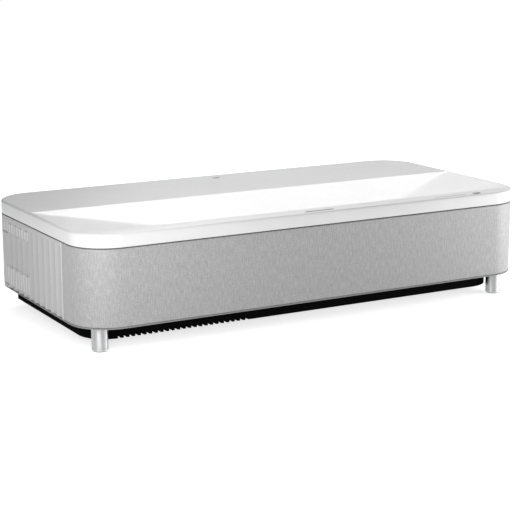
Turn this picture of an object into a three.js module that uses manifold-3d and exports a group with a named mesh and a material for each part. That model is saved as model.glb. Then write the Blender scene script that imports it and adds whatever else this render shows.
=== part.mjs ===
// Home projector for throwing a picture from close to the wall: millimetres, +Z up.
// The origin is on the floor, under the middle of the case. The cloth front faces -Y, the sockets +Y.
import * as THREE from 'three';
import { mergeVertices } from 'three/addons/utils/BufferGeometryUtils.js';
import Module from 'manifold-3d';

const wasm = await Module();
wasm.setup();

// Driving dimensions of the case
const WIDTH = 695;
const DEPTH = 341;
const TOP_Z = 157;
const SEAM_Z = 139;
const BODY_Z = 33.5;
const BASE_Z = 10.3;
const CORNER_R = 54;
const WALL = 2.5;
const GAP = 0.3;
const REVEAL = 1.6;
const EDGE_R = 3;

// Where the cloth, the side covers and the rear panel stop, all between the lip and the seam
const PLATE_T = 1.6;
const SKIN_LOW = BODY_Z + PLATE_T + GAP;
const STAND_Z = SKIN_LOW;
const SKIN_HIGH = SEAM_Z - REVEAL;
const CLOTH_END_Y = -97;
const STRIP_W = 2.2;
const SIDE_START_Y = CLOTH_END_Y + STRIP_W + 2 * GAP;
const REAR_PANEL_X = 290;

// The hollow in the top, which slopes down from the rear and from both sides to the window
const HOLLOW_REAR_Y = 18.5;
const HOLLOW_FRONT_Y = -143;
const HOLLOW_SIDE_X = 345;
const HOLLOW_FLOOR_Z = 130;
const REAR_SLOPE = 0.25;
const SIDE_SLOPE = 0.13;
const WINDOW_X = 98;
const WINDOW_Y = [-140.5, -92.5];

// The black lower case, inside the four feet
const BASE_X = 325;
const BASE_Y = [-132.4, 138];
const BASE_FRONT_R = 40;
const BASE_REAR_R = 5;

// Feet
const FOOT_X = 315.4;
const FOOT_Y = -139.7;
const FOOT_R = 10.85;
const STUD_R = 5;
const PAD_T = 0.8;
const REAR_FOOT_X = 290;
const REAR_FOOT_Y = 112;

// The slotted part of each side
const VENT_Y = [24, 114];
const UPPER_SLOT_Z = [115, 128];
const LOWER_SLOT_Z = [40, 65];
const SLOT_PITCH = 10;
const SLOT_W = 4;
const SLOT_COUNT = 10;
const FLUTE_PITCH = 20;
const FLUTE_DEPTH = 0.9;
const FLUTE_END_Y = SIDE_START_Y + 10 * FLUTE_PITCH;
const FILTER_COVER_Z = [68.3, 134];

// Light path: the lens looks forward (-Y) into the mirror, which throws the picture up and back
const LENS_Z = 80;
const RING_TEETH = 40;
const PINION_TEETH = 10;
const TOOTH_MODULE = 1.5;
const RING_Y = [14, 22];

// Fans, speakers and sockets
const FAN_SIZE = 84;
const FAN_T = 25;
const FAN_Y = 71.5;
const FAN_Z = 88;
const FAN_X = 313.5;
const SPEAKER_X = 245;
const SPEAKER_Z = 82;
const BAY_X = [-250, -100];
const BAY_Z = [52, 100];
const BAY_BACK_Y = 154;

const FINE = 6;
const ROUND = 24;

const finish = (color, roughness, metalness = 0) => ({ color, roughness, metalness });
const WHITE_PLASTIC = finish(0xf1f1f0, 0.45);
const GREY_PLASTIC = finish(0xd9dadb, 0.5);
const BLACK_PLASTIC = finish(0x121213, 0.55);
const LIGHT_CLOTH = finish(0xbcbdbe, 0.95);
const ALUMINIUM = finish(0xc9cbce, 0.3, 1);
const STEEL = finish(0x9a9da1, 0.4, 1);
const COPPER = finish(0xb87345, 0.35, 1);
const BRASS = finish(0xc9a24b, 0.35, 1);
const RUBBER = finish(0x1b1b1c, 0.9);
const BOARD = finish(0x1d5a36, 0.6);
const DARK_GLASS = finish(0x08090b, 0.06);
const CLEAR_GLASS = finish(0xdfe8ee, 0.05);
const MIRROR = finish(0xe8ebee, 0.05, 1);
const FILTER_PAPER = finish(0xe6e4dc, 0.9);

const projector = new THREE.Group();

// ---- Solids -------------------------------------------------------------------------------------

function solid(geometry) {
  const bare = geometry.index ? geometry.toNonIndexed() : geometry.clone();
  bare.deleteAttribute('normal');
  bare.deleteAttribute('uv');
  const merged = mergeVertices(bare, 1e-4);
  const index = merged.index.array;
  const kept = [];
  for (let i = 0; i < index.length; i += 3) {
    const [a, b, c] = [index[i], index[i + 1], index[i + 2]];
    if (a !== b && b !== c && c !== a) kept.push(a, b, c);
  }
  return new wasm.Manifold(new wasm.Mesh({
    numProp: 3,
    vertProperties: new Float32Array(merged.attributes.position.array),
    triVerts: new Uint32Array(kept),
  }));
}

function join(...solids) {
  return solids.reduce((whole, piece) => whole.add(piece));
}

function cut(whole, ...tools) {
  return tools.reduce((rest, tool) => rest.subtract(tool), whole);
}

function add(name, shape, look) {
  const { numProp, vertProperties, triVerts } = shape.getMesh();
  const geometry = new THREE.BufferGeometry();
  geometry.setAttribute('position', new THREE.BufferAttribute(vertProperties, numProp));
  geometry.setIndex(new THREE.BufferAttribute(triVerts, 1));
  const mesh = new THREE.Mesh(geometry, new THREE.MeshStandardMaterial({ ...look, flatShading: true }));
  mesh.name = name;
  projector.add(mesh);
}

function around(centre, half) {
  return [centre - half, centre + half];
}

function box([x0, x1], [y0, y1], [z0, z1]) {
  const block = new THREE.BoxGeometry(x1 - x0, y1 - y0, z1 - z0);
  return solid(block.translate((x0 + x1) / 2, (y0 + y1) / 2, (z0 + z1) / 2));
}

function prism(shape, z0, z1, steps = FINE) {
  const options = { depth: z1 - z0, bevelEnabled: false, curveSegments: steps };
  return solid(new THREE.ExtrudeGeometry(shape, options).translate(0, 0, z0));
}

// Puts a shape drawn in local X and Y, and pushed out along local Z, on other axes
function onAxes(geometry, localX, localY, localZ) {
  return geometry.applyMatrix4(new THREE.Matrix4().makeBasis(localX, localY, localZ));
}

const AXIS_X = new THREE.Vector3(1, 0, 0);
const AXIS_Y = new THREE.Vector3(0, 1, 0);
const AXIS_Z = new THREE.Vector3(0, 0, 1);

function outline(points) {
  return new THREE.Shape(points.map(([a, b]) => new THREE.Vector2(a, b)));
}

// Extrudes a closed outline of [y, z] points along X
function alongX(points, x0, x1) {
  const bar = new THREE.ExtrudeGeometry(outline(points), { depth: x1 - x0, bevelEnabled: false });
  return solid(onAxes(bar.translate(0, 0, x0), AXIS_Y, AXIS_Z, AXIS_X));
}

// Extrudes a closed outline of [z, x] points along Y
function alongY(points, y0, y1) {
  const bar = new THREE.ExtrudeGeometry(outline(points), { depth: y1 - y0, bevelEnabled: false });
  return solid(onAxes(bar.translate(0, 0, y0), AXIS_Z, AXIS_X, AXIS_Y));
}

// Turns a profile of [radius, height] points about an upright axis
function turned(profile, steps = ROUND) {
  const points = profile.map(([r, h]) => new THREE.Vector2(r, h));
  return solid(new THREE.LatheGeometry(points, steps).rotateX(Math.PI / 2));
}

// The same, about an axis along Y or X through a point
function turnedY(profile, x, z, steps = ROUND) {
  return turned(profile, steps).rotate([-90, 0, 0]).translate([x, 0, z]);
}

function turnedX(profile, y, z, steps = ROUND) {
  return turned(profile, steps).rotate([0, 90, 0]).translate([0, y, z]);
}

function disc(radius, low, high) {
  return [[0, low], [radius, low], [radius, high], [0, high]];
}

function tube(inner, outer, low, high) {
  return [[inner, low], [outer, low], [outer, high], [inner, high], [inner, low]];
}

function roundedRect([x0, x1], [y0, y1], r) {
  const shape = new THREE.Shape();
  shape.moveTo(x0 + r, y0);
  shape.absarc(x1 - r, y0 + r, r, -Math.PI / 2, 0, false);
  shape.absarc(x1 - r, y1 - r, r, 0, Math.PI / 2, false);
  shape.absarc(x0 + r, y1 - r, r, Math.PI / 2, Math.PI, false);
  shape.absarc(x0 + r, y0 + r, r, Math.PI, 1.5 * Math.PI, false);
  return shape;
}

// The case's plan outline, drawn in by an inset
function plan(inset) {
  const x = WIDTH / 2 - inset;
  const y = DEPTH / 2 - inset;
  return roundedRect([-x, x], [-y, y], CORNER_R - inset);
}

function planBand(outer, inner, z0, z1) {
  return cut(prism(plan(outer), z0, z1), prism(plan(inner), z0 - 1, z1 + 1));
}

// ---- Top cover and window -----------------------------------------------------------------------

// The hollow's space, sunk by an extra depth to give the underside of its walls
function hollow(extra) {
  const rise = 3;
  const floor = HOLLOW_FLOOR_Z - extra;
  const drop = TOP_Z - HOLLOW_FLOOR_Z;
  const front = HOLLOW_FRONT_Y - extra;
  const top = TOP_Z - extra + rise;
  const rear = HOLLOW_REAR_Y + rise / REAR_SLOPE;
  const side = HOLLOW_SIDE_X + rise / SIDE_SLOPE;
  const floorSide = HOLLOW_SIDE_X - drop / SIDE_SLOPE;
  const rearWedge = alongX([
    [front, floor], [HOLLOW_REAR_Y - drop / REAR_SLOPE, floor], [rear, top], [front, top],
  ], -side, side);
  const sideWedge = alongY([
    [floor, -floorSide], [top, -side], [top, side], [floor, floorSide],
  ].reverse(), front, rear);
  return rearWedge.intersect(sideWedge);
}

function roundedSlab() {
  const options = {
    depth: TOP_Z - SEAM_Z,
    bevelEnabled: true,
    bevelThickness: EDGE_R,
    bevelSize: EDGE_R,
    bevelOffset: -EDGE_R,
    bevelSegments: 3,
    curveSegments: FINE,
  };
  const slab = solid(new THREE.ExtrudeGeometry(plan(0), options).translate(0, 0, SEAM_Z - EDGE_R));
  const below = box([-WIDTH, WIDTH], [-DEPTH, DEPTH], [SEAM_Z - 10, SEAM_Z]);
  return slab.subtract(below);
}

const STATUS_X = [189, 245];
const STATUS_Y = [-163, -161];
const RECEIVER_X = 264;
const RECEIVER_Y = -162;

function receiverShape(grow) {
  const halfLength = 4.6 + grow;
  const halfWidth = 1.9 + grow;
  const x = [RECEIVER_X - halfLength, RECEIVER_X + halfLength];
  const y = [RECEIVER_Y - halfWidth, RECEIVER_Y + halfWidth];
  return roundedRect(x, y, halfWidth - 0.01);
}

function makeTopCover() {
  const inside = prism(plan(WALL), SEAM_Z - 1, TOP_Z - WALL);
  const skin = roundedSlab().subtract(inside);
  const walls = hollow(WALL).intersect(prism(plan(EDGE_R), HOLLOW_FLOOR_Z - 2 * WALL, TOP_Z - 1));
  const windowHole = box([-WINDOW_X, WINDOW_X], WINDOW_Y, [HOLLOW_FLOOR_Z - 10, HOLLOW_FLOOR_Z + 1]);
  const statusHole = box(
    [STATUS_X[0] - GAP, STATUS_X[1] + GAP],
    [STATUS_Y[0] - GAP, STATUS_Y[1] + GAP],
    [TOP_Z - 10, TOP_Z + 1],
  );
  const receiverHole = prism(receiverShape(GAP), TOP_Z - 10, TOP_Z + 1, 4);
  add('top_cover', cut(join(skin, walls), hollow(0), windowHole, statusHole, receiverHole), WHITE_PLASTIC);
  const status = box(STATUS_X, STATUS_Y, [TOP_Z - 4, TOP_Z - 0.1]);
  add('status_light', status, GREY_PLASTIC);
  add('remote_receiver', prism(receiverShape(0), TOP_Z - 4, TOP_Z - 0.1, 4), DARK_GLASS);
}

function makeWindow() {
  const endRim = 9;
  const sideRim = 6;
  const ledge = 3;
  const low = HOLLOW_FLOOR_Z - 4.5;
  const shelf = HOLLOW_FLOOR_Z - 2.2;
  const high = HOLLOW_FLOOR_Z + 0.6;
  const outer = [[-WINDOW_X + GAP, WINDOW_X - GAP], [WINDOW_Y[0] + GAP, WINDOW_Y[1] - GAP]];
  const shrink = ([a, b], by) => [a + by, b - by];
  const ring = prism(roundedRect(...outer, 4), low, high, 4);
  const seat = roundedRect(shrink(outer[0], endRim), shrink(outer[1], sideRim), 3);
  const glassHole = prism(seat, shelf, high + 1, 4);
  const lightHole = box(shrink(outer[0], endRim + ledge), shrink(outer[1], sideRim + ledge), [low - 1, high]);
  add('window_bezel', cut(ring, glassHole, lightHole), BLACK_PLASTIC);
  const glassX = shrink(outer[0], endRim + GAP);
  const glassY = shrink(outer[1], sideRim + GAP);
  add('projection_window', prism(roundedRect(glassX, glassY, 2.7), shelf + GAP, high - 0.6, 4), DARK_GLASS);
}

// ---- Cloth front --------------------------------------------------------------------------------

const FRAME_INSET = 2.8;

function makeClothFront() {
  const rear = box([-WIDTH, WIDTH], [CLOTH_END_Y, DEPTH], [0, TOP_Z + 10]);
  const cloth = planBand(0.2, 1.4, SKIN_LOW, SKIN_HIGH).subtract(rear);
  add('front_fabric', cloth, LIGHT_CLOTH);

  const frame = planBand(FRAME_INSET, FRAME_INSET + WALL, SKIN_LOW, SEAM_Z + 3).subtract(rear);
  const soundSlots = [];
  const slotPitch = 14;
  const slotCount = 8;
  const soundZ = [50, 114];
  for (const side of [-1, 1]) {
    for (let i = 0; i < slotCount; i += 1) {
      const x = side * (SPEAKER_X + (i - (slotCount - 1) / 2) * slotPitch);
      soundSlots.push(box(around(x, 4), [-DEPTH, -DEPTH / 2 + 20], soundZ));
    }
  }
  add('front_grille_frame', cut(frame, ...soundSlots), BLACK_PLASTIC);

  for (const [name, side] of [['left', -1], ['right', 1]]) {
    const x = [side * (WIDTH / 2), side * (WIDTH / 2 - 4)].sort((a, b) => a - b);
    const y = [CLOTH_END_Y + GAP, CLOTH_END_Y + GAP + STRIP_W];
    add(`trim_strip_${name}`, box(x, y, [SKIN_LOW, SKIN_HIGH]), WHITE_PLASTIC);
  }
}

// ---- Side covers --------------------------------------------------------------------------------

// How far the side is sunk at y: hollow flutes that meet in sharp upright edges
function flute(y) {
  const across = ((y - SIDE_START_Y) / FLUTE_PITCH) % 1;
  return y > FLUTE_END_Y ? 0 : 4 * FLUTE_DEPTH * across * (1 - across);
}

// The left side's plan: the flutes, then the smooth rear corner
function sidePlan(startY, endY, wrap) {
  const shape = new THREE.Shape();
  const outerX = -WIDTH / 2;
  const step = FLUTE_PITCH / 4;
  shape.moveTo(outerX + WALL + FLUTE_DEPTH, startY);
  shape.lineTo(outerX + flute(startY), startY);
  for (let y = SIDE_START_Y + step; y < Math.min(endY, FLUTE_END_Y + 1); y += step) {
    if (y > startY) shape.lineTo(outerX + flute(y), y);
  }
  shape.lineTo(outerX + flute(endY), endY);
  if (wrap) {
    const centreX = outerX + CORNER_R;
    const centreY = DEPTH / 2 - CORNER_R;
    shape.absarc(centreX, centreY, CORNER_R, Math.PI, Math.PI / 2, true);
    shape.lineTo(-REAR_PANEL_X, DEPTH / 2);
    shape.lineTo(-REAR_PANEL_X, DEPTH / 2 - WALL - FLUTE_DEPTH);
    shape.absarc(centreX, centreY, CORNER_R - WALL - FLUTE_DEPTH, Math.PI / 2, Math.PI, false);
  } else {
    shape.lineTo(outerX + WALL + FLUTE_DEPTH, endY);
  }
  return shape;
}

function ventSlots([z0, z1]) {
  const slots = [];
  for (let i = 0; i < SLOT_COUNT; i += 1) {
    const y = VENT_Y[0] + (i + 0.5) * SLOT_PITCH;
    slots.push(box([-WIDTH / 2 - 5, -WIDTH / 2 + 8], [y - SLOT_W / 2, y + SLOT_W / 2], [z0, z1]));
  }
  return slots;
}

function mirrored(shape) {
  return shape.mirror([1, 0, 0]);
}

const BUTTONS = [['power_button', 108], ['source_button', 88]];
const BUTTON_Y = -60;
const BUTTON_R = 5.5;

function makeSideCovers() {
  const cornerY = DEPTH / 2 - CORNER_R;
  const cover = prism(sidePlan(SIDE_START_Y, cornerY, true), SKIN_LOW, SKIN_HIGH, 6);
  const opening = box(
    [-WIDTH / 2 - 5, -WIDTH / 2 + 8],
    [VENT_Y[0] - GAP, VENT_Y[1] + GAP],
    [FILTER_COVER_Z[0] - GAP, FILTER_COVER_Z[1] + GAP],
  );
  const vented = cut(cover, ...ventSlots(UPPER_SLOT_Z), ...ventSlots(LOWER_SLOT_Z));
  add('left_side_cover', vented.subtract(opening), GREY_PLASTIC);

  const right = mirrored(vented);
  const holes = BUTTONS.map(([, z]) => (
    turnedX(disc(BUTTON_R + GAP, WIDTH / 2 - 10, WIDTH / 2 + 5), BUTTON_Y, z)
  ));
  add('right_side_cover', cut(right, ...holes), GREY_PLASTIC);
}

// The cover on the left side lifts away with the pleated filter held in its rim
function makeFilterCover() {
  const panel = prism(sidePlan(VENT_Y[0], VENT_Y[1], false), ...FILTER_COVER_Z);
  const back = -WIDTH / 2 + WALL + FLUTE_DEPTH;
  const rimX = [back - 0.5, back + 11];
  const rimY = [VENT_Y[0] + 3, VENT_Y[1] - 3];
  const rimZ = [FILTER_COVER_Z[0] + 3, FILTER_COVER_Z[1] - 3];
  const inner = 2;
  const rim = cut(
    box(rimX, rimY, rimZ),
    box([rimX[0] - 1, rimX[1] + 1], [rimY[0] + inner, rimY[1] - inner], [rimZ[0] + inner, rimZ[1] - inner]),
  );
  add('filter_cover', join(cut(panel, ...ventSlots(UPPER_SLOT_Z)), rim), GREY_PLASTIC);

  const folds = 12;
  const frontX = back + 1.5;
  const backX = back + 9.5;
  const thick = 1.2;
  const padY = [rimY[0] + inner + GAP, rimY[1] - inner - GAP];
  const front = [];
  const rear = [];
  for (let i = 0; i <= folds; i += 1) {
    const y = padY[0] + ((padY[1] - padY[0]) * i) / folds;
    const x = i % 2 === 0 ? frontX : backX - thick;
    front.push([x, y]);
    rear.unshift([x + thick, y]);
  }
  const padZ = [rimZ[0] + inner + GAP, rimZ[1] - inner - GAP];
  add('air_filter', prism(outline([...front, ...rear]), ...padZ), FILTER_PAPER);
}

// The press faces stand slightly proud of the right side, with a stem behind
function makeButtons() {
  for (const [name, z] of BUTTONS) {
    const face = turnedX(disc(BUTTON_R, WIDTH / 2 - 6, WIDTH / 2), BUTTON_Y, z);
    const stem = turnedX(disc(2, WIDTH / 2 - 14, WIDTH / 2 - 5), BUTTON_Y, z, 12);
    add(name, join(face, stem), GREY_PLASTIC);
  }
}

// ---- Rear panel and sockets ---------------------------------------------------------------------

const INLET_X = 235;
const INLET_Z = 66;
const INLET_HALF = [13.5, 10];
const SOCKETS = [
  { name: 'hdmi_socket_1', x: -232, size: [15, 5.6], mouth: [14, 4.6] },
  { name: 'hdmi_socket_2', x: -206, size: [15, 5.6], mouth: [14, 4.6] },
  { name: 'usb_socket', x: -180, size: [14.5, 7], mouth: [12.5, 5.1] },
];
const BOARD_Z = 60;
const BOARD_T = 1.6;
const SOCKET_LOW = BOARD_Z + BOARD_T + GAP;

function makeRearPanel() {
  const rear = DEPTH / 2;
  const x = [-REAR_PANEL_X + GAP, REAR_PANEL_X - GAP];
  const panel = box(x, [rear - WALL, rear], [SKIN_LOW, SKIN_HIGH]);
  const wall = 2;
  const grow = ([a, b], by) => [a - by, b + by];
  const bayShell = box(grow(BAY_X, wall), [BAY_BACK_Y - wall, rear - 1], grow(BAY_Z, wall));
  const bay = box(BAY_X, [BAY_BACK_Y, rear + 1], BAY_Z);
  const socketHoles = SOCKETS.map(({ x: centre, size }) => box(
    around(centre, size[0] / 2 + GAP),
    [BAY_BACK_Y - 10, BAY_BACK_Y + 1],
    [SOCKET_LOW - GAP, SOCKET_LOW + size[1] + GAP],
  ));
  const inletHole = box(
    around(INLET_X, INLET_HALF[0] + GAP),
    [rear - 10, rear + 1],
    around(INLET_Z, INLET_HALF[1] + GAP),
  );
  const louvreX = [10, 30, 50, 70, 90, 110, 130, 150, 170];
  const louvres = louvreX.flatMap((centre) => [[104, 109], [116, 121]].map((z) => (
    box(around(centre, 7), [rear - 10, rear + 1], z)
  )));
  add('rear_panel', cut(join(panel, bayShell), bay, inletHole, ...socketHoles, ...louvres), GREY_PLASTIC);
}

function makeSockets() {
  const length = 17;
  for (const { name, x, size, mouth } of SOCKETS) {
    const z = SOCKET_LOW + size[1] / 2;
    const y = [BAY_BACK_Y - length, BAY_BACK_Y + 0.6];
    const shell = box(around(x, size[0] / 2), y, around(z, size[1] / 2));
    const cavity = box(around(x, mouth[0] / 2), [y[0] + 3, y[1] + 1], around(z, mouth[1] / 2));
    add(name, shell.subtract(cavity), STEEL);
  }
}

// A three-pin inlet, whose pins stand in the lower half of the recess
function makePowerInlet() {
  const rear = DEPTH / 2;
  const body = box(around(INLET_X, INLET_HALF[0]), [rear - 24, rear - 0.4], around(INLET_Z, INLET_HALF[1]));
  const recess = box(around(INLET_X, 12), [rear - 17, rear + 1], around(INLET_Z, 8.2));
  const pins = [-7, 0, 7].map((offset) => box(
    around(INLET_X + offset, 1),
    [rear - 19, rear - 4],
    around(INLET_Z - (offset === 0 ? 1 : 4.5), 2),
  ));
  add('power_inlet', join(body.subtract(recess), ...pins), BLACK_PLASTIC);
}

// ---- Base, plate and feet -----------------------------------------------------------------------

// The base's plan outline, drawn in by an inset: wide front corners, tight rear ones
function basePlan(inset) {
  const x = BASE_X - inset;
  const front = BASE_Y[0] + inset;
  const rear = BASE_Y[1] - inset;
  const frontR = BASE_FRONT_R - inset;
  const rearR = BASE_REAR_R - inset;
  const shape = new THREE.Shape();
  shape.moveTo(-x + frontR, front);
  shape.absarc(x - frontR, front + frontR, frontR, -Math.PI / 2, 0, false);
  shape.absarc(x - rearR, rear - rearR, rearR, 0, Math.PI / 2, false);
  shape.absarc(-x + rearR, rear - rearR, rearR, Math.PI / 2, Math.PI, false);
  shape.absarc(-x + frontR, front + frontR, frontR, Math.PI, 1.5 * Math.PI, false);
  return shape;
}

function makeBaseCase() {
  const outer = prism(basePlan(0), BASE_Z, BODY_Z - GAP, 8);
  const inner = prism(basePlan(WALL), BASE_Z + WALL, BODY_Z + 1, 8);
  add('base_case', cut(outer, inner, ...intakeSlots()), BLACK_PLASTIC);
}

// Slots between the ribs under the front left of the base, which also notch its front wall
function intakeSlots() {
  const pitch = 8.19;
  const width = 4.4;
  const count = 24;
  const first = -286.7;
  const reach = 70;
  const notchZ = [BASE_Z - 1, BASE_Z + 4.5];
  const slots = [];
  for (let i = 0; i < count; i += 1) {
    const x = first + i * pitch;
    slots.push(box([x, x + width], [BASE_Y[0] - 5, BASE_Y[0] + reach], notchZ));
  }
  return slots;
}

function makeBottomPlate() {
  const plate = prism(plan(0.1), BODY_Z, BODY_Z + PLATE_T);
  const airHalf = 23;
  const bossR = 9;
  const bossHeight = 14;
  const bosses = [];
  const holes = [];
  for (const x of [-255, -200, -145]) {
    for (const y of [-50, 5]) {
      holes.push(box(around(x, airHalf), around(y, airHalf), [BODY_Z - 1, BODY_Z + 5]));
    }
  }
  for (const side of [-1, 1]) {
    const move = [side * FOOT_X, FOOT_Y, 0];
    bosses.push(turned(disc(bossR, BODY_Z + 0.5, BODY_Z + bossHeight), 20).translate(move));
    holes.push(turned(disc(STUD_R + GAP, BODY_Z - 1, BODY_Z + bossHeight + 6), 20).translate(move));
  }
  add('bottom_plate', cut(join(plate, ...bosses), ...holes), WHITE_PLASTIC);
}

function makeFeet() {
  const barrelTop = BODY_Z - 0.5;
  const bore = 11;
  const edge = 1;
  const padR = FOOT_R - 1.6;
  const studTop = BODY_Z + 26;
  const rearPadT = 3;
  const rearPadR = 9.5;
  const postR = [10, 12.5];
  const postTop = BASE_Z - GAP;
  for (const [name, side] of [['left', -1], ['right', 1]]) {
    const move = [side * FOOT_X, FOOT_Y, 0];
    const barrel = turned([
      [0, PAD_T], [FOOT_R - edge, PAD_T], [FOOT_R, PAD_T + edge], [FOOT_R, barrelTop - edge / 2],
      [FOOT_R - edge / 2, barrelTop], [STUD_R + GAP, barrelTop], [STUD_R + GAP, bore], [0, bore],
    ], 32);
    const stud = turned(disc(STUD_R, bore + GAP, studTop), 20);
    const pad = turned(disc(padR, 0, PAD_T - 0.05), ROUND);
    add(`front_foot_${name}`, barrel.translate(move), ALUMINIUM);
    add(`front_foot_stud_${name}`, stud.translate(move), STEEL);
    add(`front_foot_pad_${name}`, pad.translate(move), RUBBER);

    const rearMove = [side * REAR_FOOT_X, REAR_FOOT_Y, 0];
    const post = turned([
      [0, rearPadT], [postR[0], rearPadT], [postR[0] + edge, rearPadT + edge],
      [postR[1], postTop], [0, postTop],
    ]);
    add(`rear_foot_${name}`, post.translate(rearMove), BLACK_PLASTIC);
    add(`rear_foot_pad_${name}`, turned(disc(rearPadR, 0, rearPadT - GAP)).translate(rearMove), RUBBER);
  }
}

// ---- Cooling ------------------------------------------------------------------------------------

// A fan whose axis runs along X, with its motor held on four struts at the inner face
function makeFan(name, side) {
  const centreX = side * FAN_X;
  const inner = centreX - (side * FAN_T) / 2;
  const span = (a, b) => [Math.min(a, b), Math.max(a, b)];
  const half = FAN_SIZE / 2;
  const ductR = 39;
  const hubR = 15;
  const bladeCount = 7;
  const bladeHalf = 9;
  const frame = cut(
    box(around(centreX, FAN_T / 2), around(FAN_Y, half), around(FAN_Z, half)),
    turnedX(disc(ductR, centreX - FAN_T, centreX + FAN_T), FAN_Y, FAN_Z, 30),
  );
  const strutX = span(inner, inner + side * 3);
  const motorPlate = turnedX(disc(hubR, ...strutX), FAN_Y, FAN_Z, 24);
  const struts = [
    box(strutX, around(FAN_Y, ductR + 1), around(FAN_Z, 1.5)),
    box(strutX, around(FAN_Y, 1.5), around(FAN_Z, ductR + 1)),
  ];
  add(`${name}_frame`, join(frame, motorPlate, ...struts), BLACK_PLASTIC);

  const rotorX = span(inner + side * 4, inner + side * (FAN_T - 2));
  const rotorMid = (rotorX[0] + rotorX[1]) / 2;
  const bladeLength = ductR - 1.5;
  const pitchAngle = 38;
  const blades = [];
  for (let i = 0; i < bladeCount; i += 1) {
    const blade = box([-0.8, 0.8], [-bladeHalf, bladeHalf], [hubR - 3, bladeLength]);
    const placed = blade.rotate([0, 0, pitchAngle]).rotate([(360 / bladeCount) * i, 0, 0]);
    blades.push(placed.translate([rotorMid, FAN_Y, FAN_Z]));
  }
  const hub = turnedX(disc(hubR, ...rotorX), FAN_Y, FAN_Z, 24);
  add(`${name}_rotor`, join(hub, ...blades), BLACK_PLASTIC);
}

const COOLER_X = [212, 294];
const COOLER_Z = 60;
const PIPE_Y = [62, 88];
const PIPE_R = 3;
const PIPE_Z = COOLER_Z - 6 - GAP - PIPE_R;

function makeHeatSink() {
  const y = [32, 112];
  const finPitch = 6;
  const finThickness = 1.2;
  const base = box(COOLER_X, y, [COOLER_Z - 6, COOLER_Z]);
  const fins = [];
  for (let at = y[0]; at <= y[1] - finThickness; at += finPitch) {
    fins.push(box(COOLER_X, [at, at + finThickness], [COOLER_Z - 1, 128]));
  }
  add('heat_sink', join(base, ...fins), ALUMINIUM);
}

// Each pipe runs under the laser module and then under the heat sink, dipping between them
function makeHeatPipes() {
  const route = [[135, 0], [195, 0], [203, -4], [215, -4], [222, 0], [288, 0]];
  const section = new THREE.Shape().absarc(0, 0, PIPE_R, 0, 2 * Math.PI);
  for (const [name, y] of [['front', PIPE_Y[0]], ['rear', PIPE_Y[1]]]) {
    const points = route.map(([x, dip]) => new THREE.Vector3(x, y, PIPE_Z + dip));
    const options = {
      steps: 14,
      extrudePath: new THREE.CatmullRomCurve3(points, false, 'catmullrom', 0.2),
      curveSegments: 3,
    };
    add(`heat_pipe_${name}`, solid(new THREE.ExtrudeGeometry(section, options)), COPPER);
  }
}

// ---- Light source and optics --------------------------------------------------------------------

const WHEEL_Y = 80;
const WHEEL_Z = 90;

function makeLightSource() {
  const body = box([132, 198], [52, 98], [COOLER_Z - 6, 102]);
  const flange = box([126, 204], [46, 104], [COOLER_Z - 6, COOLER_Z]);
  const diodes = [];
  for (let row = 0; row < 2; row += 1) {
    for (let i = 0; i < 4; i += 1) {
      diodes.push(turnedX(disc(4, 128, 134), 58 + i * 11, 74 + row * 14, 12));
    }
  }
  add('laser_module', join(body, flange, ...diodes), STEEL);

  const wheel = turnedX(tube(7, 28, 96, 97.6), WHEEL_Y, WHEEL_Z);
  const hub = turnedX(disc(8, 94, 99), WHEEL_Y, WHEEL_Z, 20);
  add('phosphor_wheel', join(wheel, hub), ALUMINIUM);
  const motor = turnedX(disc(11, 99 + GAP, 113), WHEEL_Y, WHEEL_Z, 24);
  const foot = box([101, 111], around(WHEEL_Y, 9), [STAND_Z, WHEEL_Z - 6]);
  add('phosphor_wheel_motor', join(motor, foot), BLACK_PLASTIC);
}

function makeOpticalEngine() {
  const x = [-72, 72];
  const y = [40, 148];
  const z = [44, 116];
  const wall = 3;
  const shell = cut(
    box(x, y, z),
    box([x[0] + wall, x[1] - wall], [y[0] + wall, y[1] - wall], [z[0] + wall, z[1] + 1]),
    turnedY(disc(18, y[0] - 5, y[0] + 10), 0, LENS_Z, 24),
    box([x[1] - 10, x[1] + 5], around(WHEEL_Y, 12), around(WHEEL_Z, 12)),
  );
  const legs = [];
  for (const legX of [x[0] + 8, x[1] - 8]) {
    for (const legY of [y[0] + 8, y[1] - 8]) {
      legs.push(box(around(legX, 5), around(legY, 5), [STAND_Z, z[0] + 1]));
    }
  }
  add('optical_engine_case', join(shell, ...legs), BLACK_PLASTIC);

  const prismBlock = box(around(0, 13), [50, 76], around(LENS_Z, 13));
  const panels = [
    box(around(-17.5, 5), [52, 74], around(LENS_Z, 15)),
    box(around(17.5, 5), [52, 74], around(LENS_Z, 15)),
    box(around(0, 15), [75, 84], around(LENS_Z, 15)),
  ];
  add('colour_prism', join(prismBlock, ...panels), CLEAR_GLASS);
}

function gearShape(teeth, clearance) {
  const pitchR = (teeth * TOOTH_MODULE) / 2;
  const rootR = pitchR - 1.25 * TOOTH_MODULE;
  const tipR = pitchR + 0.8 * TOOTH_MODULE - clearance;
  const shape = [];
  for (let i = 0; i < teeth; i += 1) {
    for (const [part, r] of [[-0.26, rootR], [-0.11, tipR], [0.11, tipR], [0.26, rootR]]) {
      const angle = ((i + part) * 2 * Math.PI) / teeth;
      shape.push([r * Math.cos(angle), r * Math.sin(angle)]);
    }
  }
  return outline(shape);
}

const PINION_X = ((RING_TEETH + PINION_TEETH) * TOOTH_MODULE) / 2 + GAP;

// A gear with its axis along Y, turned about that axis by an angle
function uprightGear(shape, x, turn) {
  const flat = prism(shape, ...RING_Y).rotate([0, 0, turn]);
  return flat.rotate([90, 0, 0]).mirror([0, 1, 0]).translate([x, 0, LENS_Z]);
}

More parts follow.
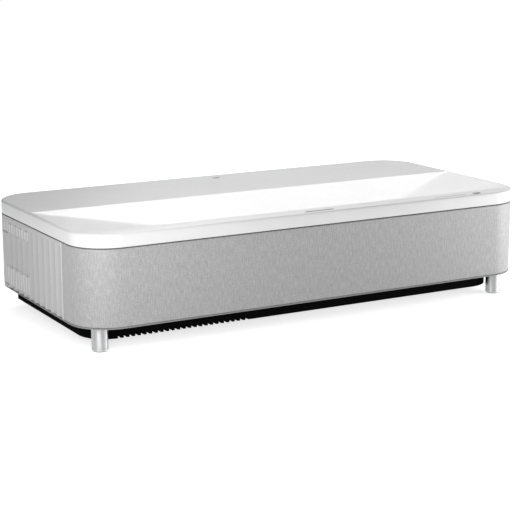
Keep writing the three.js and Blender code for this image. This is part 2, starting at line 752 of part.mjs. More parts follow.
function makeLens() {
  const seatR = 22;
  const rear = 40 - GAP;
  const barrel = turnedY([
    [14, -22], [26, -22], [26, 4], [seatR, 6], [seatR, 32], [27, 32], [27, rear], [14, rear], [14, -22],
  ], 0, LENS_Z);
  const seat = turnedY(disc(22.5, -30, -16), 0, LENS_Z);
  add('lens_barrel', barrel.subtract(seat), BLACK_PLASTIC);
  const back = -16 - GAP;
  const front = turnedY([[0, -24], [12, -23], [20, -20.5], [22, -19], [22, back], [0, back]], 0, LENS_Z);
  add('lens_front_element', front, CLEAR_GLASS);

  const bore = turnedY(disc(seatR + GAP, 0, 40), 0, LENS_Z);
  add('focus_ring', cut(uprightGear(gearShape(RING_TEETH, 0), 0, 0), bore), BLACK_PLASTIC);
  const halfTooth = 180 / PINION_TEETH;
  const pinion = uprightGear(gearShape(PINION_TEETH, 0.1), PINION_X, 180 + halfTooth);
  add('focus_pinion', pinion, BRASS);
  const motor = turnedY(disc(8, RING_Y[1] + 1, 39), PINION_X, LENS_Z, 20);
  const stand = box(around(PINION_X, 6), [RING_Y[1] + 3, 37], [STAND_Z, LENS_Z]);
  add('focus_motor', join(motor, stand), STEEL);
}

// A shallow concave mirror that leans back, on a bent bracket
function makeMirror() {
  const bowlR = 170;
  const rimR = 100;
  const thickness = 4;
  const steps = 6;
  const reach = Math.asin(rimR / bowlR);
  const profile = [];
  for (let i = 0; i <= steps; i += 1) {
    const angle = (reach * i) / steps;
    profile.push([bowlR * Math.sin(angle), bowlR * (1 - Math.cos(angle))]);
  }
  for (let i = steps; i >= 0; i -= 1) {
    const [r, h] = profile[i];
    profile.push([r, h - thickness]);
  }
  const bowl = turned(profile.reverse(), 32).rotate([-90, 0, 0]);
  const halfWide = 86;
  const halfTall = 34;
  const crop = box([-halfWide, halfWide], [-10, 60], [-halfTall, halfTall]);
  const lean = 14;
  const mirrorY = -140;
  const mirrorZ = 82;
  const plateX = 60;
  const move = [0, mirrorY, mirrorZ];
  add('projection_mirror', bowl.intersect(crop).rotate([lean, 0, 0]).translate(move), MIRROR);

  const plateY = mirrorY - thickness - 2;
  const flat = box([-plateX, plateX], [-2, 0], [-40, 30]);
  const upright = flat.rotate([lean, 0, 0]).translate([0, plateY, mirrorZ]);
  const shelf = box([-plateX, plateX], [-142, -108], [STAND_Z, STAND_Z + 3]);
  const legs = [-plateX + 4, plateX - 4].map((x) => box(around(x, 4), [-140, -126], [STAND_Z + 1, 46]));
  add('mirror_bracket', join(upright, shelf, ...legs), STEEL);
}

// ---- Boards and speakers ------------------------------------------------------------------------

function makeBoards() {
  const mainY = [44, BAY_BACK_Y - 3];
  const main = box([-256, -90], mainY, [BOARD_Z, BOARD_Z + BOARD_T]);
  const top = BOARD_Z + 1;
  const parts = [
    box([-205, -165], [70, 110], [top, BOARD_Z + 16]),
    box([-150, -125], [60, 85], [top, BOARD_Z + 6]),
    box([-245, -220], [60, 85], [top, BOARD_Z + 5]),
    box([-150, -110], [100, 112], [top, BOARD_Z + 10]),
    turned(disc(5, top, BOARD_Z + 14), 12).translate([-235, 105, 0]),
    turned(disc(5, top, BOARD_Z + 14), 12).translate([-221, 105, 0]),
  ];
  const standoffs = [];
  for (const x of [-250, -96]) {
    for (const y of [50, mainY[1] - 6]) {
      standoffs.push(turned(disc(3, STAND_Z, BOARD_Z + 1), 10).translate([x, y, 0]));
    }
  }
  add('main_board', join(main, ...parts, ...standoffs), BOARD);

  const low = 42;
  const supply = box([95, 265], [-62, 18], [low, low + BOARD_T]);
  const supplyTop = low + 1;
  const supplyParts = [
    box([105, 145], [-52, -16], [supplyTop, low + 34]),
    box([158, 186], [-54, -26], [supplyTop, low + 28]),
    box([100, 190], [4, 8], [supplyTop, low + 40]),
    turned(disc(11, supplyTop, low + 42), 16).translate([210, -38, 0]),
    turned(disc(11, supplyTop, low + 42), 16).translate([236, -38, 0]),
    turned(disc(7, supplyTop, low + 24), 12).translate([225, 0, 0]),
    box([242, 262], [-12, 12], [supplyTop, low + 20]),
  ];
  const supplyLegs = [];
  for (const x of [100, 260]) {
    for (const y of [-57, 13]) {
      supplyLegs.push(turned(disc(3, STAND_Z, supplyTop), 10).translate([x, y, 0]));
    }
  }
  add('power_board', join(supply, ...supplyParts, ...supplyLegs), BOARD);
}

function makeSpeaker(name, side) {
  const x = side * SPEAKER_X;
  const front = -148;
  const wall = 3;
  const outer = [around(x, 58), [front, -82], [44, 120]];
  const inner = [around(x, 58 - wall), [front + wall, -82 - wall], [44 + wall, 120 - wall]];
  const mouth = turnedY(disc(34, front - 5, front + 10), x, SPEAKER_Z, ROUND);
  const footZ = [STAND_Z, 45];
  const feet = [-40, 40].map((offset) => box(around(x + offset, 6), [-130, -100], footZ));
  add(`speaker_box_${name}`, join(cut(box(...outer), box(...inner), mouth), ...feet), BLACK_PLASTIC);

  const driver = turnedY([
    [0, -112], [22, -112], [22, -122], [33, front - GAP], [37, front - GAP], [37, front - 3],
    [31, front - 3], [20, -124], [0, -124],
  ].reverse(), x, SPEAKER_Z);
  add(`speaker_driver_${name}`, driver, STEEL);

  const cone = turnedY([
    [0, -131], [9, -131], [25.5, front + 0.5], [27.5, front + 0.5], [27.5, front - 1],
    [25, front - 1], [9, -133.5], [5, -137], [0, -138],
  ].reverse(), x, SPEAKER_Z);
  add(`speaker_cone_${name}`, cone, BLACK_PLASTIC);
}

makeTopCover();
makeWindow();
makeClothFront();
makeSideCovers();
makeFilterCover();
makeButtons();
makeRearPanel();
makeSockets();
makePowerInlet();
makeBaseCase();
makeBottomPlate();
makeFeet();
makeFan('intake_fan', -1);
makeFan('exhaust_fan', 1);
makeHeatSink();
makeHeatPipes();
makeLightSource();
makeOpticalEngine();
makeLens();
makeMirror();
makeBoards();
makeSpeaker('left', -1);
makeSpeaker('right', 1);

export default projector;
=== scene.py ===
import math

import bmesh
import bpy
from mathutils import Matrix, Vector


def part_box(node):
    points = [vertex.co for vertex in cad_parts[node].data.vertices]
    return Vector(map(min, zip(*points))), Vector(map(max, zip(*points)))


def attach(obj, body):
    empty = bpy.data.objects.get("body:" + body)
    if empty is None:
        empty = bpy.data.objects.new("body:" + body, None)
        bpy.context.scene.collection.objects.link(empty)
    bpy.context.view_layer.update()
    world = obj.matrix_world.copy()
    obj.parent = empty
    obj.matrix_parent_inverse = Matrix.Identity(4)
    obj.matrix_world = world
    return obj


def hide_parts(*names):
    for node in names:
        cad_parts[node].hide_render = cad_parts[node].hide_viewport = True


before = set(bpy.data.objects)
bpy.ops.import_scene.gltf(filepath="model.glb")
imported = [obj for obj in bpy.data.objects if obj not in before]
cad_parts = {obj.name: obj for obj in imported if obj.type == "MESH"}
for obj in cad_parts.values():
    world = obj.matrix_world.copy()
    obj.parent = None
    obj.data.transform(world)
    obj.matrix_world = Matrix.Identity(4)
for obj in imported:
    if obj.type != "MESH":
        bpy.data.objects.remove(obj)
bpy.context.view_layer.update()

# Home projector: the looks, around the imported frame. Metres, +Z up, cloth front towards -Y.

MM = 0.001
CASE = "case"

# The case, from the frame's own nodes
top_low, top_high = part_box("top_cover")
cloth_low, cloth_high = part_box("front_fabric")
cover_low, cover_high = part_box("left_side_cover")
filter_low, filter_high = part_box("filter_cover")
HALF_X = top_high.x
HALF_Y = top_high.y
TOP_Z = top_high.z
CORNER_R = 54 * MM
CORNER_X = HALF_X - CORNER_R
CORNER_Y = HALF_Y - CORNER_R
SEAM_Z = 139 * MM
EDGE_R = 3 * MM
WALL = 2.5 * MM

# The hollow in the top
HOLLOW_REAR_Y = 18.5 * MM
HOLLOW_FRONT_Y = -143 * MM
HOLLOW_FLOOR_Z = 130 * MM
REAR_SLOPE = 0.25
SIDE_SLOPE = 0.13

# Slots and flutes of the sides
SLOT_PITCH = 10 * MM
SLOT_W = 4 * MM
SLOT_COUNT = 10
UPPER_SLOT_Z = (115 * MM, 128 * MM)
LOWER_SLOT_Z = (40 * MM, 65 * MM)
BAND_DEPTH = 1.0 * MM
FLUTE_PITCH = 20 * MM
FLUTE_DEPTH = 1.9 * MM
FLUTE_COUNT = 10
GAP = 0.3 * MM


# ---- Materials ----------------------------------------------------------------------------------

class Nodes:
    """A material's node tree, with short calls for the few kinds of node used here."""

    def __init__(self, name):
        self.material = bpy.data.materials.new(name)
        self.material.use_nodes = True
        self.tree = self.material.node_tree
        self.shader = self.tree.nodes["Principled BSDF"]

    def add(self, kind, **values):
        node = self.tree.nodes.new(kind)
        for key, value in values.items():
            setattr(node, key, value)
        return node

    def link(self, source, target):
        self.tree.links.new(source, target)

    def place(self, kind="Object", stretch=(1, 1, 1)):
        """Where a point is on the piece, stretched on each axis."""
        where = self.add("ShaderNodeTexCoord")
        scale = self.add("ShaderNodeMapping")
        scale.inputs["Scale"].default_value = stretch
        self.link(where.outputs[kind], scale.inputs["Vector"])
        return scale.outputs["Vector"]

    def noise(self, place, scale, detail=3.0, roughness=0.5):
        node = self.add("ShaderNodeTexNoise")
        node.inputs["Scale"].default_value = scale
        node.inputs["Detail"].default_value = detail
        node.inputs["Roughness"].default_value = roughness
        self.link(place, node.inputs["Vector"])
        return node.outputs["Fac"]

    def spread(self, source, low, high, source_low=0.3, source_high=0.7):
        node = self.add("ShaderNodeMapRange")
        node.inputs["From Min"].default_value = source_low
        node.inputs["From Max"].default_value = source_high
        node.inputs["To Min"].default_value = low
        node.inputs["To Max"].default_value = high
        self.link(source, node.inputs["Value"])
        return node.outputs["Result"]

    def math(self, operation, a, b=None, c=None):
        node = self.add("ShaderNodeMath", operation=operation)
        for socket, value in zip(node.inputs, (a, b, c)):
            if isinstance(value, (int, float)):
                socket.default_value = value
            elif value is not None:
                self.link(value, socket)
        return node.outputs["Value"]

    def blend(self, factor, dark, light):
        """A colour between two, by a factor from 0 to 1."""
        node = self.add("ShaderNodeMix", data_type="RGBA")
        node.inputs[6].default_value = (*dark, 1)
        node.inputs[7].default_value = (*light, 1)
        self.link(factor, node.inputs[0])
        return node.outputs[2]

    def paint(self, factor, dark, light):
        """Colours the surface between two colours."""
        self.link(self.blend(factor, dark, light), self.shader.inputs["Base Color"])

    def bump(self, height, distance, strength=1.0):
        node = self.add("ShaderNodeBump")
        node.inputs["Distance"].default_value = distance
        node.inputs["Strength"].default_value = strength
        self.link(height, node.inputs["Height"])
        self.link(node.outputs["Normal"], self.shader.inputs["Normal"])

    def set(self, **values):
        for key, value in values.items():
            self.shader.inputs[key.replace("_", " ")].default_value = value


def scaled(color, factor):
    return tuple(min(1.0, channel * factor) for channel in color)


def moulded_plastic(name, color, roughness=0.42, grain=0.02 * MM, variation=0.02, specular=0.5):
    """Moulded plastic: a fine spark-eroded grain, with faint clouds in its colour and gloss."""
    n = Nodes(name)
    n.set(Specular_IOR_Level=specular)
    place = n.place()
    clouds = n.spread(n.noise(place, 9.0, 2.0), 0.0, 1.0)
    n.paint(clouds, scaled(color, 1 - variation), scaled(color, 1 + variation))
    gloss = n.spread(n.noise(place, 140.0, 4.0), roughness - 0.04, roughness + 0.05)
    n.link(gloss, n.shader.inputs["Roughness"])
    n.bump(n.noise(place, 2600.0, 2.0), grain)
    return n.material


def metal(name, color, roughness, stretch, scale=900.0, depth=0.004 * MM, anisotropic=0.0):
    """Worked metal: fine marks drawn out along the axis whose stretch is small.

    Anisotropic above 0 draws out its highlights, as on a turned piece.
    """
    n = Nodes(name)
    n.set(Metallic=1.0)
    n.set(Anisotropic=anisotropic, Anisotropic_Rotation=0.25)
    marks = n.noise(n.place(stretch=stretch), scale, 3.0, 0.6)
    n.paint(n.spread(marks, 0.0, 1.0), scaled(color, 0.93), scaled(color, 1.04))
    n.link(n.spread(marks, roughness - 0.06, roughness + 0.08), n.shader.inputs["Roughness"])
    n.bump(marks, depth)
    return n.material


def speaker_cloth(name):
    """Stretched speaker cloth: plain weave, with light and dark yarns that run upright."""
    n = Nodes(name)
    thread = 0.9 * MM
    where = n.add("ShaderNodeUVMap", uv_map="cloth")
    split = n.add("ShaderNodeSeparateXYZ")
    n.link(where.outputs["UV"], split.inputs["Vector"])
    across = n.math("SINE", n.math("MULTIPLY", split.outputs["X"], math.pi / thread))
    up = n.math("SINE", n.math("MULTIPLY", split.outputs["Y"], math.pi / thread))
    over = n.math("MULTIPLY_ADD", n.math("MULTIPLY", across, up), 0.5, 0.5)
    yarns = n.math("ABSOLUTE", across)
    picks = n.math("ABSOLUTE", up)
    difference = n.math("MULTIPLY", n.math("SUBTRACT", yarns, picks), over)
    weave = n.math("ADD", picks, difference)

    def streaks(stretch, scale):
        mapping = n.add("ShaderNodeMapping")
        mapping.inputs["Scale"].default_value = stretch
        n.link(where.outputs["UV"], mapping.inputs["Vector"])
        return n.noise(mapping.outputs["Vector"], scale, 2.0, 0.6)

    upright = streaks((1.0, 0.16, 1.0), 560.0)
    level = streaks((0.3, 1.0, 1.0), 620.0)
    flecks = streaks((1.0, 0.5, 1.0), 900.0)
    tone = n.math("ADD", n.math("MULTIPLY", upright, 0.45), n.math("MULTIPLY", level, 0.15))
    tone = n.math("ADD", tone, n.math("MULTIPLY", flecks, 0.4))
    tone = n.math("ADD", tone, n.math("MULTIPLY", n.math("SUBTRACT", weave, 0.64), 0.25))
    factor = n.spread(tone, 0.0, 1.0, 0.33, 0.67)
    n.paint(factor, CLOTH_DARK, CLOTH_LIGHT)
    n.set(Roughness=0.5, Specular_IOR_Level=0.7, Sheen_Weight=0.2, Sheen_Roughness=0.4)
    n.bump(weave, 0.10 * MM, 0.5)
    return n.material


def glass(name, color, transmission, roughness=0.03):
    """Polished glass with a faint haze of dust."""
    n = Nodes(name)
    place = n.place()
    dust = n.noise(place, 60.0, 4.0)
    n.paint(n.spread(dust, 0.0, 1.0), scaled(color, 0.9), scaled(color, 1.1))
    n.link(n.spread(dust, roughness, roughness + 0.03), n.shader.inputs["Roughness"])
    n.set(IOR=1.5, Transmission_Weight=transmission, Coat_Weight=0.5, Coat_Roughness=0.02)
    return n.material


def rubber(name, color):
    n = Nodes(name)
    place = n.place()
    scuffs = n.noise(place, 300.0, 4.0)
    n.paint(n.spread(scuffs, 0.0, 1.0), scaled(color, 0.8), scaled(color, 1.4))
    n.set(Roughness=0.85)
    n.bump(scuffs, 0.05 * MM)
    return n.material


def circuit_board(name):
    """Green solder mask, with tracks that show as slightly lighter blocks."""
    n = Nodes(name)
    place = n.place()
    bricks = n.add("ShaderNodeTexVoronoi", distance="CHEBYCHEV")
    bricks.inputs["Scale"].default_value = 260.0
    n.link(place, bricks.inputs["Vector"])
    tracks = n.spread(bricks.outputs["Distance"], 0.0, 1.0, 0.2, 0.45)
    n.paint(tracks, (0.012, 0.085, 0.04), (0.03, 0.17, 0.08))
    n.set(Roughness=0.4)
    n.bump(tracks, 0.03 * MM)
    return n.material


def filter_paper(name):
    n = Nodes(name)
    fibres = n.noise(n.place(stretch=(1, 1, 0.2)), 1200.0, 4.0, 0.7)
    n.paint(n.spread(fibres, 0.0, 1.0), (0.62, 0.60, 0.53), (0.80, 0.79, 0.73))
    n.set(Roughness=0.95)
    n.bump(fibres, 0.08 * MM)
    return n.material


def lamp_plastic(name, color):
    """A milky light pipe, unlit."""
    n = Nodes(name)
    milk = n.noise(n.place(), 400.0, 2.0)
    n.paint(milk, scaled(color, 0.95), color)
    n.set(Roughness=0.5, Specular_IOR_Level=0.1)
    return n.material


CLOTH_DARK = (0.205, 0.205, 0.205)
CLOTH_LIGHT = (0.365, 0.365, 0.365)
WHITE = moulded_plastic("white_plastic", (0.59, 0.59, 0.59), 0.36, specular=0.3)
SIDE_GREY = moulded_plastic("side_plastic", (0.41, 0.41, 0.411), 0.45)
# Painted highlight: the louvre blades are whiter than the grey side they sit in, so that the slots read
# bright.
LOUVRE_HIGHLIGHT_WHITE = moulded_plastic("louvre_painted_highlight", (0.60, 0.60, 0.60), 0.5)
LIP_GREY = moulded_plastic("lip_plastic", (0.20, 0.20, 0.201), 0.6)
BLACK = moulded_plastic("black_plastic", (0.012, 0.012, 0.013), 0.5, 0.04 * MM, 0.15)
BLACK_SATIN = moulded_plastic("black_satin_plastic", (0.018, 0.018, 0.02), 0.3, 0.01 * MM, 0.1)
BASE_BLACK = moulded_plastic("base_plastic", (0.003, 0.003, 0.003), 0.9, 0.04 * MM, 0.15, 0.02)
# Painted shade: a dark grey ring fills the seam groove, where there is only shade.
SEAM_SHADE_GREY = moulded_plastic("seam_painted_shade", (0.09, 0.09, 0.091), 0.8, specular=0.2)
MARK_GREY = moulded_plastic("printed_mark", (0.06, 0.06, 0.061), 0.8, specular=0.05)
CLOTH = speaker_cloth("speaker_cloth")
FOOT_METAL = metal("turned_aluminium", (0.58, 0.583, 0.588), 0.36, (1, 1, 9), 500.0, 0.001 * MM, 0.8)
ALUMINIUM = metal("mill_aluminium", (0.66, 0.67, 0.68), 0.38, (0.05, 1, 1))
STEEL = metal("brushed_steel", (0.50, 0.51, 0.52), 0.34, (0.06, 1, 1))
COPPER = metal("copper_pipe", (0.72, 0.36, 0.20), 0.25, (0.05, 1, 1))
BRASS_METAL = metal("machined_brass", (0.74, 0.56, 0.26), 0.28, (1, 0.1, 1))
SILVERED = metal("silvered_glass", (0.90, 0.92, 0.93), 0.07, (1, 1, 1), 60.0, 0.0005 * MM)
RUBBER = rubber("foot_rubber", (0.02, 0.02, 0.021))
BOARD = circuit_board("circuit_board")
PAPER = filter_paper("filter_paper")
DARK_GLASS = glass("dark_glass", (0.010, 0.011, 0.014), 0.0)
CLEAR_GLASS = glass("clear_glass", (0.92, 0.95, 0.97), 0.9)
LAMP = lamp_plastic("status_lamp", (0.30, 0.305, 0.31))
RECEIVER_BLACK = moulded_plastic("receiver_window", (0.012, 0.011, 0.012), 0.5, specular=0.05)


# ---- Meshes -------------------------------------------------------------------------------------

def new_piece(name, vertices, faces, material, body=CASE, slot=None, replaces=()):
    mesh = bpy.data.meshes.new(name)
    mesh.from_pydata([tuple(v) for v in vertices], [], faces)
    mesh.materials.append(material)
    piece = bpy.data.objects.new(name, mesh)
    bpy.context.scene.collection.objects.link(piece)
    if replaces:
        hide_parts(*replaces)
    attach(piece, body)
    return piece


def clean(piece, outward=True):
    """Joins vertices that meet, drops faces with no area and turns every face outwards."""
    work = bmesh.new()
    work.from_mesh(piece.data)
    bmesh.ops.remove_doubles(work, verts=work.verts, dist=0.002 * MM)
    bmesh.ops.dissolve_degenerate(work, edges=work.edges, dist=0.0005 * MM)
    if outward:
        bmesh.ops.recalc_face_normals(work, faces=work.faces)
    work.to_mesh(piece.data)
    work.free()


def settle(piece, angle=32):
    """Applies the piece's modifiers, then shades it smooth up to an angle."""
    graph = bpy.context.evaluated_depsgraph_get()
    mesh = bpy.data.meshes.new_from_object(piece.evaluated_get(graph))
    piece.modifiers.clear()
    piece.data = mesh
    shade(mesh, angle)
    return piece


def shade(mesh, angle=32):
    mesh.shade_smooth()
    mesh.set_sharp_from_angle(angle=math.radians(angle))


def thicken(piece, thickness):
    solidify = piece.modifiers.new("wall", "SOLIDIFY")
    solidify.thickness = thickness
    solidify.offset = -1
    solidify.use_even_offset = False


def soften(piece, width, segments=2, angle=40):
    bevel = piece.modifiers.new("edges", "BEVEL")
    bevel.width = width
    bevel.segments = segments
    bevel.limit_method = "ANGLE"
    bevel.angle_limit = math.radians(angle)


def grid_faces(rows, columns, skip=lambda row, column: False, closed=False):
    """Quads of a grid of vertices, row by row, without the skipped cells."""
    faces = []
    last = columns if closed else columns - 1
    for r in range(rows - 1):
        for c in range(last):
            if skip(r, c):
                continue
            d = (c + 1) % columns
            faces.append((r * columns + c, r * columns + d, (r + 1) * columns + d, (r + 1) * columns + c))
    return faces


def lathe(profile, centre, axis="Z", steps=64):
    """Vertices and faces of a profile of (radius, height) points turned about an axis."""
    vertices = []
    for radius, height in profile:
        for i in range(steps):
            angle = 2 * math.pi * i / steps
            a, b = radius * math.cos(angle), radius * math.sin(angle)
            point = {"Z": (a, b, height), "X": (height, a, b), "Y": (b, height, a)}[axis]
            vertices.append(Vector(point) + Vector(centre))
    faces = grid_faces(len(profile), steps, closed=True)
    return vertices, faces


def turned_piece(name, profile, centre, material, axis="Z", steps=64, **facts):
    """A closed turned piece: its profile starts and ends on the axis."""
    vertices, faces = lathe(profile, centre, axis, steps)
    piece = new_piece(name, vertices, faces, material, **facts)
    clean(piece)
    shade(piece.data)
    return piece


def rounded_corner(radius, x, y, start, end, steps):
    return [
        (x + radius * math.cos(math.radians(start + (end - start) * i / steps)),
         y + radius * math.sin(math.radians(start + (end - start) * i / steps)))
        for i in range(steps + 1)
    ]


def evenly(low, high, step):
    count = max(1, round((high - low) / step))
    return [low + (high - low) * i / count for i in range(count + 1)]


def merged(*lists, closest=0.05 * MM):
    """Sorted values of several lists, leaving out the ones too close to the one before."""
    values = []
    for value in sorted(v for part in lists for v in part):
        if not values or value - values[-1] > closest:
            values.append(value)
    return values


# ---- Top cover ----------------------------------------------------------------------------------

SURFACE_Z = TOP_Z - 0.16 * MM
RIM_X = HALF_X - EDGE_R
RIM_R = CORNER_R - EDGE_R
STEADY_X = 280 * MM
WINDOW_X = 97.5 * MM
WINDOW_Y = (-140.2 * MM, -92.8 * MM)


def rim_x(y):
    """Half the width of the top surface at y, inside the rounded edge."""
    past = max(0.0, abs(y) - CORNER_Y)
    return CORNER_X + math.sqrt(max(0.0, RIM_R ** 2 - past ** 2))


def smooth_max(a, b, softness):
    return 0.5 * (a + b + math.sqrt((a - b) ** 2 + softness ** 2))


def hollow_z(x, y):
    """Height of the top inside the hollow: slopes from the rear and the ends, down to the floor."""
    rear = SURFACE_Z - REAR_SLOPE * max(0.0, HOLLOW_REAR_Y - y)
    side = SURFACE_Z - SIDE_SLOPE * max(0.0, rim_x(y) - abs(x))
    depth = SURFACE_Z - max(rear, side)
    crease = smooth_max(rear, side, 0.16 * depth)
    floor_softness = 1.6 * MM * min(1.0, depth / (20 * MM))
    return min(SURFACE_Z, smooth_max(crease, HOLLOW_FLOOR_Z, floor_softness))


def column_x(place, y):
    """Columns stand at fixed places in the middle, and crowd together towards the rim."""
    if abs(place) <= STEADY_X:
        return place
    share = (abs(place) - STEADY_X) / (RIM_X - STEADY_X)
    return math.copysign(STEADY_X + share * (rim_x(y) - STEADY_X), place)


def top_rows():
    """Each row is (y, height): height(x) gives the surface along it, from the front to the rear."""
    lip = 1.3 * MM
    foot = 3.0 * MM
    corner = [RIM_R * math.sin(math.radians(a)) for a in range(5, 91, 5)]
    level = lambda x, y: SURFACE_Z
    rows = [(y, level) for y in merged(
        [-CORNER_Y - v for v in corner if CORNER_Y + v > -HOLLOW_FRONT_Y + lip],
        [HOLLOW_FRONT_Y - lip],
    )]

    def drop(x):
        return SURFACE_Z - hollow_z(x, HOLLOW_FRONT_Y)

    def lip_row(angle):
        def height(x, y):
            return SURFACE_Z - min(lip, 0.45 * drop(x)) * (1 - math.cos(angle))
        return (HOLLOW_FRONT_Y - lip + lip * math.sin(angle), height)

    def wall_row(share):
        def height(x, y):
            high = SURFACE_Z - min(lip, 0.45 * drop(x))
            low = hollow_z(x, HOLLOW_FRONT_Y) + min(foot, 0.45 * drop(x))
            return high + (low - high) * share
        return (HOLLOW_FRONT_Y, height)

    def foot_row(angle):
        y = HOLLOW_FRONT_Y + foot * (1 - math.cos(angle))

        def height(x, y):
            return hollow_z(x, y) + min(foot, 0.45 * drop(x)) * (1 - math.sin(angle))
        return (y, height)

    rows += [lip_row(math.radians(a)) for a in (20, 40, 60, 75, 90)]
    rows += [wall_row(share) for share in (0.33, 0.66)]
    rows += [foot_row(math.radians(a)) for a in (0, 20, 40, 60, 90)]
    inside = merged(
        [-CORNER_Y - v for v in corner if CORNER_Y + v < -HOLLOW_FRONT_Y - foot],
        evenly(-CORNER_Y, HOLLOW_REAR_Y, 4.2 * MM),
        [WINDOW_Y[1], HOLLOW_REAR_Y - 0.5 * MM],
        closest=0.4 * MM,
    )
    rows += [(y, hollow_z) for y in inside if y > HOLLOW_FRONT_Y + foot + 0.2 * MM]
    behind = merged(evenly(HOLLOW_REAR_Y + 0.5 * MM, CORNER_Y, 12 * MM), [CORNER_Y + v for v in corner])
    rows += [(y, level) for y in behind]
    return rows


def border(rows, columns):
    """Indices of the grid's outer vertices, anticlockwise from the front left."""
    count = len(columns)
    front = list(range(count))
    right = [r * count + count - 1 for r in range(1, len(rows))]
    rear = [(len(rows) - 1) * count + c for c in range(count - 2, -1, -1)]
    left = [r * count for r in range(len(rows) - 2, 0, -1)]
    return front + right + rear + left


def outward(point):
    """Level direction out of the case's outline at a point on the rim."""
    beyond = Vector((
        math.copysign(max(0.0, abs(point.x) - CORNER_X), point.x),
        math.copysign(max(0.0, abs(point.y) - CORNER_Y), point.y),
        0.0,
    ))
    return beyond.normalized()


def make_top_cover():
    rows = top_rows()
    columns = merged(
        evenly(-RIM_X, RIM_X, 7 * MM),
        [-WINDOW_X, WINDOW_X],
        [sign * (RIM_X - d * MM) for sign in (-1, 1) for d in (0, 2, 5, 9)],
        closest=0.8 * MM,
    )
    columns[0], columns[-1] = -RIM_X, RIM_X
    vertices = [
        Vector((column_x(place, y), y, height(column_x(place, y), y)))
        for y, height in rows for place in columns
    ]

    def in_window(r, c):
        y = (rows[r][0] + rows[r + 1][0]) / 2
        x = (columns[c] + columns[c + 1]) / 2
        return abs(x) < WINDOW_X and HOLLOW_FRONT_Y + 3 * MM - 0.1 * MM < y < WINDOW_Y[1]

    faces = grid_faces(len(rows), len(columns), in_window)
    ring = border(rows, columns)
    edge_steps = 6
    skirt = [(EDGE_R * math.sin(a), EDGE_R * (1 - math.cos(a)))
             for a in (math.pi / 2 * i / edge_steps for i in range(1, edge_steps + 1))]
    drop = SURFACE_Z - SEAM_Z
    skirt += [(EDGE_R, drop * 0.5), (EDGE_R, drop - 0.5 * MM), (EDGE_R - 0.15 * MM, drop - 0.15 * MM),
              (EDGE_R - 0.5 * MM, drop)]
    loop = ring
    for out, down in skirt:
        start = len(vertices)
        for index in ring:
            at = vertices[index]
            vertices.append(Vector((at.x, at.y, SURFACE_Z - down)) + outward(at) * out)
        new_loop = list(range(start, start + len(ring)))
        count = len(ring)
        for i in range(count):
            after = (i + 1) % count
            faces.append((loop[i], new_loop[i], new_loop[after], loop[after]))
        loop = new_loop
    cover = new_piece("top_shell", vertices, faces, WHITE, slot="white_plastic", replaces=["top_cover"])
    clean(cover)
    thicken(cover, WALL)
    settle(cover, 30)
    return cover


# ---- Cloth front --------------------------------------------------------------------------------

def front_path(inset, end_y, corner_steps=20, straight=10 * MM):
    """Plan points round the front, from the left end of the cloth to the right one."""
    radius = CORNER_R - inset
    left = [(-HALF_X + inset, y) for y in reversed(evenly(-CORNER_Y, end_y, 4 * MM))]
    turn_left = rounded_corner(radius, -CORNER_X, -CORNER_Y, 180, 270, corner_steps)
    across = [(x, -HALF_Y + inset) for x in evenly(-CORNER_X, CORNER_X, straight)]
    turn_right = rounded_corner(radius, CORNER_X, -CORNER_Y, 270, 360, corner_steps)
    right = [(HALF_X - inset, y) for y in evenly(-CORNER_Y, end_y, 4 * MM)]
    points = []
    for point in left + turn_left + across + turn_right + right:
        if not points or (Vector(point) - Vector(points[-1])).length > 0.05 * MM:
            points.append(point)
    return points


def lengths(points):
    total = [0.0]
    for a, b in zip(points, points[1:]):
        total.append(total[-1] + (Vector(b) - Vector(a)).length)
    return total


def make_cloth():
    """One stretched sheet, whose top and bottom edges turn in round the frame behind."""
    inset = 0.25 * MM
    roll = 1.1 * MM
    turns = [math.radians(d) for d in (0, 22, 45, 68, 90)]
    low, high = cloth_low.z, cloth_high.z
    rows = [(inset + roll * (1 - math.sin(a)), low + roll * (1 - math.cos(a))) for a in turns]
    rows += [(inset, z) for z in evenly(low + roll, high - roll, 6 * MM)[1:-1]]
    rows += [(inset + roll * (1 - math.cos(a)), high - roll + roll * math.sin(a)) for a in turns]
    vertices, uvs = [], []
    along = lengths(front_path(inset, cloth_high.y))
    for row_inset, z in rows:
        for (x, y), at in zip(front_path(row_inset, cloth_high.y), along):
            vertices.append(Vector((x, y, z)))
            uvs.append((at, z))
    columns = len(along)
    faces = grid_faces(len(rows), columns)
    cloth = new_piece("cloth_front", vertices, faces, CLOTH, slot="front_cloth", replaces=["front_fabric"])
    layer = cloth.data.uv_layers.new(name="cloth")
    for loop in cloth.data.loops:
        layer.data[loop.index].uv = uvs[loop.vertex_index]
    shade(cloth.data, 60)
    return cloth


# ---- Side covers --------------------------------------------------------------------------------

FLUTE_END_Y = cover_low.y + FLUTE_COUNT * FLUTE_PITCH
BAND_Y = (filter_low.y, filter_low.y + SLOT_COUNT * SLOT_PITCH)
END_MARGIN = 0.4 * MM
END_RAMP = 1 * MM
LEDGE_H = 1.5 * MM
STEP_H = 0.6 * MM
FADE_H = (2 * MM, 7 * MM)
PANEL_ANGLE = 15


def ramp(value, low, high):
    return min(1.0, max(0.0, (value - low) / (high - low)))


def flute(y, z):
    """Depth of the hollow upright flutes, which meet in sharp edges and die out under the seam."""
    if y > FLUTE_END_Y:
        return 0.0
    across = ((y - cover_low.y) / FLUTE_PITCH) % 1
    fade = ramp(cover_high.z - z, *FADE_H)
    return 4 * FLUTE_DEPTH * across * (1 - across) * fade * fade * (3 - 2 * fade)


def sunk(y, z):
    """Depth of the side under its flat outline: the flutes, but level in the two bands of slots."""
    front = BAND_Y[0] + END_MARGIN
    ends = ramp(y, front, front + END_RAMP) * ramp(BAND_Y[1] - y, 0, END_RAMP)
    level = 0.0
    for low, high in (LOWER_SLOT_Z, UPPER_SLOT_Z):
        level += ramp(z, low - LEDGE_H, low) * ramp(high + STEP_H - z, 0, STEP_H)
    level *= ends
    return BAND_DEPTH * level + flute(y, z) * (1 - level)


